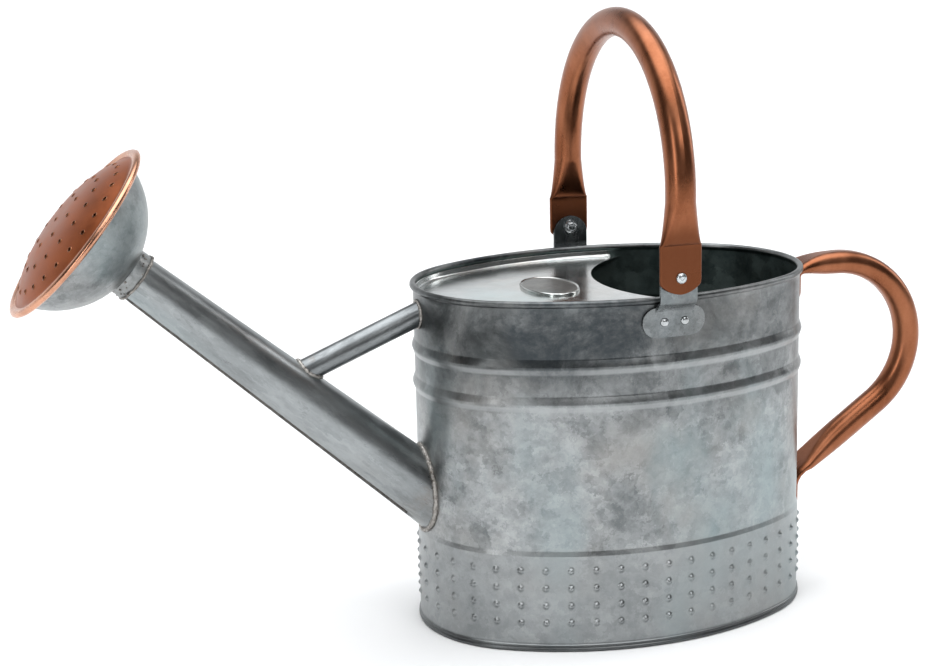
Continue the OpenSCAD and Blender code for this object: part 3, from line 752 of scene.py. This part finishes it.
def make_bail():
    d, arch, zc, x = 17.0, 89.1, 262.5, PIVOT[0]
    crease, full, foot, t = 236.0, 260.0, 208.4, 2.8
    leg = []
    for z in (208.42, 208.6, 209.0, 209.7, 210.8, 212.2, 214.0, 216.4, 219, 224, 229, 233.5, 235.4, crease, 236.6, 238, 240.5, 243.5, 246.5, 249.5, 252.5, 255, 257, 258.6, full, 261.4):
        if z <= crease:
            w = 25.0
            if z < foot + 16:
                w = min(w, 2 * math.sqrt(max(16**2 - (foot + 16 - z) ** 2, 0)))
            th = t if z < 235.5 else t + 0.15
        else:
            f = min((z - crease) / (full - crease), 1.0)
            th = t + (d - t) * f ** 0.6
            w = min(pressed_width(th, d), 25.0)
        leg.append((z, th, max(w, th)))
    X = Vector((1, 0, 0))
    st = [(Vector((x, -arch, z)), Vector((0, -1, 0)), X, th, w) for z, th, w in leg]
    n = 72
    for i in range(n + 1):
        a = math.pi * i / n
        out = Vector((0, -math.cos(a), math.sin(a)))
        st.append((Vector((x, 0, zc)) + out * arch, out, X, d, d))
    st += [(Vector((x, arch, z)), Vector((0, 1, 0)), X, th, w) for z, th, w in reversed(leg)]
    ob = build("bail_tube", *tube(st, d), body="bail", slot="copper_finish", mats=(COPPER,), stands_for=("bail_handle",))
    return sharp(turned(ob), 32)


make_bail()


def make_rear_handle():
    d = 16.4
    Y = Vector((0, 1, 0))
    flat_x = 118 + 1.6
    st = []
    # upper tab, against the wall
    for z, w in ((180.05, 14.0), (180.3, 17.5), (181.0, 20.5), (182.2, 22.8), (184, 24.0), (188, 24.0), (192, 24.0), (194.2, 24.0)):
        st.append((Vector((flat_x, 0, z)), Vector((-1, 0, 0)), Y, 3.1, w))
    neck = [((120.4, 196.2), 50, 3.6, 24.0), ((122.6, 197.6), 24, 5.0, 23.4), ((126.0, 198.3), 10, 7.0, 22.3), ((130.0, 198.8), 6, 9.0, 21.2),
            ((134.5, 199.05), 3, 11.0, 20.0), ((139.0, 199.1), 1, 12.6, 18.8), ((144.0, 199.1), 0, 13.6, 17.9)]
    for (x, z), slope, th, w in neck:
        a = math.radians(slope)
        st.append((Vector((x, 0, z)), Vector((-math.sin(a), 0, math.cos(a))), Y, th, w))
    n, top = 60, 90.0
    low = -(90 - math.degrees(GRIP_S))
    for i in range(n + 1):
        a = top + (low - top) * i / n
        f = i / n
        th = 14.0 + 1.9 * min(1, f * 1.5)
        out = Vector((math.cos(math.radians(a)), 0, math.sin(math.radians(a))))
        st.append((Vector((GRIP_C[0], 0, GRIP_C[1])) + out * GRIP_R, out, Y, th, pressed_width(th, d)))
    go = Vector((-math.cos(GRIP_S), 0, -math.sin(GRIP_S)))
    out = Vector((math.sin(GRIP_S), 0, -math.cos(GRIP_S)))
    p0 = Vector((GRIP_C[0], 0, GRIP_C[1])) + out * GRIP_R
    for s, th in ((6, 15.9), (14, 16.0), (22, 16.0), (30, 15.8), (37, 14.8), (43, 13.2), (49, 11.2), (54.5, 9.0), (59.5, 6.8)):
        st.append((p0 + go * s, out, Y, th, min(pressed_width(th, d), 24.0)))
    bend = [((125.2, 70.9), 30, 5.2), ((122.2, 68.0), 20, 4.2), ((120.6, 65.0), 8, 3.4)]
    for (x, z), slope, th in bend:
        a = math.radians(90 - slope)
        st.append((Vector((x, 0, z)), Vector((math.sin(a), 0, -math.cos(a))), Y, th, 24.0))
    for z, w in ((62, 24.0), (58, 24.0), (54, 24.0), (50, 24.0), (48, 22.8), (46.9, 20.5), (46.3, 17.5), (46.05, 14.0)):
        st.append((Vector((120.0, 0, z)), Vector((1, 0, 0)), Y, 2.3, w))
    ob = build("rear_tube", *tube(st, d), slot="copper_finish", mats=(COPPER,), stands_for=("rear_handle",))
    return sharp(turned(ob), 32)


make_rear_handle()


# ---------------------------------------------------------------- spout, brace and welds
SEAM_J = 55         # the spout's lap edge, counted round its 96 sides from the top


def make_spout():
    """A rolled cone with a lap seam along its underside, cut to the wall at its foot."""
    n, steps = 96, 40
    outer, inner = [], []
    for shell, rows in ((0.0, outer), (-SHEET, inner)):
        feet = [spout_foot(TAU * j / n, shell) - 0.25 for j in range(n)]
        for i in range(steps + 1):
            row = []
            for j in range(n):
                a = TAU * j / n
                s = feet[j] + (SPOUT_L - feet[j]) * i / steps
                lift = 0.0
                if shell == 0 and 2 < i < steps:
                    lift = {SEAM_J: -0.6, SEAM_J - 1: 0.6, SEAM_J - 2: 0.45, SEAM_J - 3: 0.2}.get(j, 0.0)
                row.append(cone_point(s, a, shell + lift))
            rows.append(row)
    verts, faces = loft(outer + inner[::-1], closed=True, caps=False)
    m = [1 if (steps + 1) * n <= i < (2 * steps + 1) * n else 0 for i in range(len(faces))]
    # The faces along the lap edge get the dark seam material: a painted shadow line.
    for i in range(3, steps):
        m[i * n + SEAM_J - 1] = 2
    ob = build("spout_cone", verts, faces, mats=(TUBE, INSIDE, SEAM_SHADOW), face_mats=m, stands_for=("spout_tube",))
    return sharp(turned(ob), 60)


make_spout()


def bead(path, radius, n=12, ripple=0.0, pitch=3.0, seed=0.0, closed=True, push=None):
    """A weld bead along a closed path, with the ripples that a torch leaves."""
    rings, run = [], 0.0
    count = len(path)
    for i in range(count):
        p, q, o = Vector(path[i]), Vector(path[(i + 1) % count]), Vector(path[i - 1])
        run += (p - o).length if i else 0
        t = (q - o).normalized()
        u = (t.cross(Vector((0.3, 0.2, 0.93)))).normalized()
        v = t.cross(u)
        saw = (run / pitch) % 1.0
        r = radius * (1 + ripple * (0.5 - saw) + 0.3 * noise.noise(p * 0.22 + Vector((seed, 0, 0))))
        rings.append([p + u * (r * math.cos(TAU * j / n)) + v * (r * math.sin(TAU * j / n)) for j in range(n)])
    return loft(rings, closed=closed, caps=not closed)


n = 220
path = [cone_point(spout_foot(TAU * j / n, 0.35, 0.35), TAU * j / n, 0.35) for j in range(n)]
sharp(turned(build("spout_foot_weld", *bead(path, 1.6, ripple=0.3, pitch=3.0), slot="weld_metal", mats=(WELD,), stands_for=("spout_weld",))), 80)


def brace_point(s, a, grow=0.0):
    d = Vector((-math.cos(BRACE_A), 0, -math.sin(BRACE_A)))
    up = Vector((-math.sin(BRACE_A), 0, math.cos(BRACE_A)))
    r = 7.0 + grow
    return BRACE_O + d * s + up * (r * math.cos(a)) + Vector((0, 1, 0)) * (r * math.sin(a))


def brace_top(a, grow=0.0):
    """Where the brace's surface leaves the wall."""
    def gap(s):
        p = brace_point(s, a, grow)
        return -p.x - wall_x(p.y)
    return solve(gap, -20, 20)


def brace_low(a, grow=0.0):
    """Where the brace's surface meets the spout."""
    axis = Vector((-math.cos(SPOUT_A), 0, math.sin(SPOUT_A)))
    def gap(s):
        p = brace_point(s, a, grow) - SPOUT_O
        t = p.dot(axis)
        return (p - axis * t).length - (SPOUT_R1 + (SPOUT_R2 - SPOUT_R1) * t / SPOUT_L)
    return solve(gap, 25, 84)


n, steps = 48, 16
rings = []
for shell in (0.0, -SHEET):
    ends = [(brace_top(TAU * j / n, shell) - 0.1, brace_low(TAU * j / n, shell) + 0.1) for j in range(n)]
    rows = [[brace_point(a + (b - a) * i / steps, TAU * j / n, shell) for j, (a, b) in enumerate(ends)] for i in range(steps + 1)]
    rings += rows if shell == 0 else rows[::-1]
sharp(turned(build("brace_tube", *loft(rings, closed=True, caps=False), mats=(BRACE,), stands_for=("spout_brace",))), 60)

n = 110
path = [brace_point(brace_top(TAU * j / n, 0.3) + 0.35, TAU * j / n, 0.3) for j in range(n)]
sharp(turned(build("brace_wall_weld", *bead(path, 0.95, ripple=0.3, pitch=2.4, seed=5), slot="weld_metal", mats=(WELD,), stands_for=("brace_weld_wall",))), 80)
path = [brace_point(brace_low(TAU * j / n, 0.3) - 0.3, TAU * j / n, 0.3) for j in range(n)]
sharp(turned(build("brace_spout_weld", *bead(path, 1.1, ripple=0.35, pitch=2.6, seed=9), slot="weld_metal", mats=(WELD,), stands_for=("brace_weld_spout",))), 80)


# ---------------------------------------------------------------- rose
def rose(s, r, a):
    """Point on the spout's axis, s mm beyond the spout's tip."""
    d = Vector((-math.cos(SPOUT_A), 0, math.sin(SPOUT_A)))
    up = Vector((math.sin(SPOUT_A), 0, math.cos(SPOUT_A)))
    return SPOUT_O + d * (SPOUT_L + s) + up * (r * math.cos(a)) + Vector((0, 1, 0)) * (r * math.sin(a))


collar = [(-1.2, 13.35), (-1.2, 13.9), (-0.9, 14.1), (5.4, 14.1), (6.3, 14.5), (6.6, 14.4), (6.5, 13.35), (0, 13.32)]
sharp(turned(build("rose_neck", *lathe(collar, rose, 96), mats=(BOWL,), stands_for=("rose_collar",))), 40)

# solder at the collar's foot: an uneven fillet with a few drops
n = 200
path = []
for j in range(n):
    a = TAU * j / n
    path.append(rose(-1.1 + 0.6 * noise.noise(Vector((math.cos(a) * 2.2, math.sin(a) * 2.2, 4))), 14.05, a))
parts = [bead(path, 0.85, n=10, ripple=0.15, pitch=2.0, seed=3)]
rnd = random.Random(4)
for _ in range(26):
    a, s, r = rnd.uniform(0, TAU), rnd.uniform(-1.0, 6.0), rnd.uniform(0.35, 0.8)
    c = rose(s, 14.05, a)
    ball = [[c + Vector((r * math.sin(p) * math.cos(TAU * j / 10), r * math.sin(p) * math.sin(TAU * j / 10), r * math.cos(p))) for j in range(10)]
            for p in (0.02, 0.6, 1.1, 1.57, 2.1, 2.6, 3.12)]
    parts.append(loft(ball))
sharp(turned(build("rose_solder", *join(parts), slot="weld_metal", mats=(SOLDER,), stands_for=("rose_weld",))), 70)

bowl = [(6.3, 13.4), (6.0, 13.8), (6.15, 14.3), (6.45, 14.9)]
cs, cr = 54.69, 50.3
for deg in range(18, 75, 4):
    a = math.radians(deg)
    bowl.append((cs - cr * math.cos(a), cr * math.sin(a)))
bowl += [(41.0, 48.4), (41.0, 54.4), (40.2, 54.4), (40.2, 47.5)]
inner = [(s + 0.75 * math.cos(math.atan2(r, cs - s)), r - 0.75 * math.sin(math.atan2(r, cs - s))) for s, r in bowl[4:-4]]
bowl += inner[::-1]
verts, faces = lathe(bowl, rose, 128)
half = 128 * (len(bowl) - len(inner) - 1)
ob = build("rose_shell", verts, faces, mats=(BOWL, INSIDE), face_mats=[1 if i >= half else 0 for i in range(len(faces))], stands_for=("rose_bowl",))
sharp(turned(ob), 50)


def make_face():
    """The perforated face: a dome with a rolled edge that grips the bowl's flange."""
    edge = [(39.3, 51.4), (39.0, 53.2), (39.2, 54.8), (40.0, 55.9), (41.1, 56.3), (42.1, 55.8), (42.8, 54.8), (43.05, 53.6),
            (42.9, 52.6), (42.4, 51.6), (42.0, 50.9), (42.1, 50.3)]
    high, base, swell = 11.9, 50.6, 2.6
    def height(r):
        return 41.6 + high * (1 - (r / base) ** swell)
    n = 144
    out = list(edge)
    out += [(height(r), r) for r in (49.7, 48.6, 46.8, 44.5, 41.5, 38.0, 34.0, 30.0, 26.0, 22.0, 18.0, 14.0, 10.0, 6.0, 3.0)]
    back = [(s - 0.75, r - 0.15) for s, r in reversed(out) if r < 46.0]
    prof = out + back + [(41.35, 48.2), (41.1, 50.0), (41.1, 54.8), (40.5, 55.0), (39.9, 54.6), (39.7, 51.6)]
    k = len(out)
    verts, faces = lathe(prof, rose, n)
    # the middle, closed above and below
    faces = [f for f in faces if not (f[0] // n == k - 1 or (f[0] // n == k and f[2] // n == k - 1))]
    for ring, flip in ((k - 1, False), (k, True)):
        s = prof[ring][0] + 0.03
        c = len(verts)
        verts.append(rose(s, 0, 0))
        for j in range(n):
            t = [ring * n + j, ring * n + (j + 1) % n, c]
            faces.append(t[::-1] if flip else t)
    lip = len(edge) - 2
    mats = []
    for f in faces:
        i = min(v // n for v in f)
        mats.append(2 if k <= i < len(prof) - 6 else (1 if i < lip or i >= len(prof) - 6 else 0))
    ob = build("rose_disc", verts, faces, slot="copper_finish", mats=(COPPER_FACE, COPPER_EDGE_HIGHLIT, INSIDE), face_mats=mats, stands_for=("rose_face",))
    turned(ob)
    cut, lips, m = [], [], 14
    for ring_r, count in ((0, 1), (17, 8), (31, 16), (43, 24)):
        for i in range(count):
            a0 = TAU * (i + 0.5) / count
            h = height(ring_r)
            d = Vector((-math.cos(SPOUT_A), 0, math.sin(SPOUT_A)))
            up = Vector((math.sin(SPOUT_A), 0, math.cos(SPOUT_A)))
            c = rose(h, ring_r, a0)
            rad = (up * math.cos(a0) + Vector((0, 1, 0)) * math.sin(a0))
            slope = math.atan(high * swell / base * (ring_r / base) ** (swell - 1))
            axis = d * math.cos(slope) + rad * math.sin(slope)
            e1 = Vector((0, 1, 0)).cross(axis).normalized()
            e2 = axis.cross(e1)

            def ring(s, r):
                return [c + axis * s + e1 * (r * math.cos(TAU * j / m)) + e2 * (r * math.sin(TAU * j / m)) for j in range(m)]
            cut.append(loft([ring(-2.5, 1.0), ring(2.5, 1.0)]))
            lips.append(loft([ring(-0.4, 1.75), ring(0.05, 1.7), ring(0.3, 1.35), ring(0.34, 1.1), ring(0.2, 0.98), ring(-0.4, 0.98)], closed=True, caps=False))
    cv, cf = join(cut)
    me = bpy.data.meshes.new("holes")
    me.from_pydata([tuple(c * MM for c in v) for v in cv], [], cf)
    tool = bpy.data.objects.new("holes", me)
    bpy.context.scene.collection.objects.link(tool)
    turned(tool)
    mod = ob.modifiers.new("holes", "BOOLEAN")
    mod.operation, mod.solver, mod.object = "DIFFERENCE", "EXACT", tool
    bpy.context.view_layer.update()
    got = ob.evaluated_get(bpy.context.evaluated_depsgraph_get())
    new = bpy.data.meshes.new_from_object(got)
    ob.modifiers.clear()
    ob.data = new
    bpy.data.objects.remove(tool)
    turned(build("rose_hole_lips", *join(lips), slot="copper_finish", mats=(COPPER_LIP_SHADED,), stands_for=()))
    return sharp(ob, 50)


make_face()


# ---------------------------------------------------------------- what stays from the frame
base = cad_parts["base_plate"]
base.data.materials.clear()
base.data.materials.append(INSIDE)


# ---------------------------------------------------------------- floor, lights and camera
def make_floor():
    me = bpy.data.meshes.new("floor")
    s = 14.0
    me.from_pydata([(-s, -s, -0.0002), (s, -s, -0.0002), (s, s, -0.0002), (-s, s, -0.0002)], [], [(0, 1, 2, 3)])
    floor = bpy.data.objects.new("floor", me)
    bpy.context.scene.collection.objects.link(floor)
    m = Mat("floor_paper", metallic=0.0, rough=0.9, color=(0.86, 0.86, 0.86))
    m.s.inputs["Specular IOR Level"].default_value = 0.1
    me.materials.append(m.end(m.ramp(m.noise(3, 2), (0.3, 0.84), (0.7, 0.86))))


def light(name, at, aim, size, power, color=(1, 1, 1)):
    data = bpy.data.lights.new(name, "AREA")
    data.shape, data.size, data.size_y, data.energy, data.color = "RECTANGLE", size[0], size[1], power, color
    ob = bpy.data.objects.new(name, data)
    bpy.context.scene.collection.objects.link(ob)
    ob.location = at
    ob.rotation_euler = (Vector(aim) - Vector(at)).to_track_quat("-Z", "Y").to_euler()


make_floor()
light("left_box", (-1.7, -1.3, 0.8), (0, 0, 0.12), (0.35, 1.3), 9)
light("front_box", (0.35, -1.9, 1.5), (0, 0, 0.15), (1.1, 0.35), 7)
light("right_box", (1.7, 0.2, 0.9), (0, 0, 0.15), (0.4, 1.2), 6)

world = bpy.data.worlds.new("studio")
bpy.context.scene.world = world
world.use_nodes = True
wt = world.node_tree
bg = wt.nodes["Background"]


def sky(kind, *ins, **sets):
    n = wt.nodes.new(kind)
    for k, v in sets.items():
        setattr(n, k, v)
    for i, v in enumerate(ins):
        if isinstance(v, bpy.types.NodeSocket):
            wt.links.new(v, n.inputs[i])
        elif v is not None:
            n.inputs[i].default_value = v
    return n.outputs[0]


def stretch(value, lo, hi, to):
    return sky("ShaderNodeMapRange", value, lo, hi, 0.0, to, interpolation_type="SMOOTHSTEP")


# A wide overhead cloth, a pale wall behind the object and a dim room in front of it.
way = wt.nodes.new("ShaderNodeSeparateXYZ")
wt.links.new(wt.nodes.new("ShaderNodeTexCoord").outputs["Generated"], way.inputs[0])
x, y, z = way.outputs
cloth = stretch(z, 0.68, 0.90, 3.5)
wall_back = sky("ShaderNodeMath", stretch(y, 0.1, 0.7, 1.0), stretch(z, 0.75, 0.2, 1.0), operation="MULTIPLY")
total = sky("ShaderNodeMath", cloth, sky("ShaderNodeMath", wall_back, 0.10, operation="ADD"), operation="ADD")
plain = wt.nodes.new("ShaderNodeLightPath").outputs["Is Camera Ray"]  # the backdrop itself is plain white
wt.links.new(sky("ShaderNodeMath", total, plain, operation="MAXIMUM"), bg.inputs[1])
bg.inputs[0].default_value = (0.97, 0.985, 1.0, 1)
bpy.context.scene.view_settings.view_transform = "Standard"

cam = bpy.data.cameras.new("camera")
cam.sensor_width, cam.lens = 36.0, 75.35
cam.clip_start, cam.clip_end = 0.05, 60
eye = bpy.data.objects.new("camera", cam)
bpy.context.scene.collection.objects.link(eye)
az, el, roll = math.radians(-16.887), math.radians(13.294), math.radians(-1.368)
back = Vector((math.sin(az) * math.cos(el), -math.cos(az) * math.cos(el), math.sin(el)))
right = Vector((math.cos(az), math.sin(az), 0))
up = back.cross(right)
right, up = right * math.cos(roll) + up * math.sin(roll), up * math.cos(roll) - right * math.sin(roll)
place = Matrix((right, up, back)).transposed().to_4x4()
place.translation = Vector((-0.4108, -1.0571, 0.4370))
eye.matrix_world = place
bpy.context.scene.camera = eye
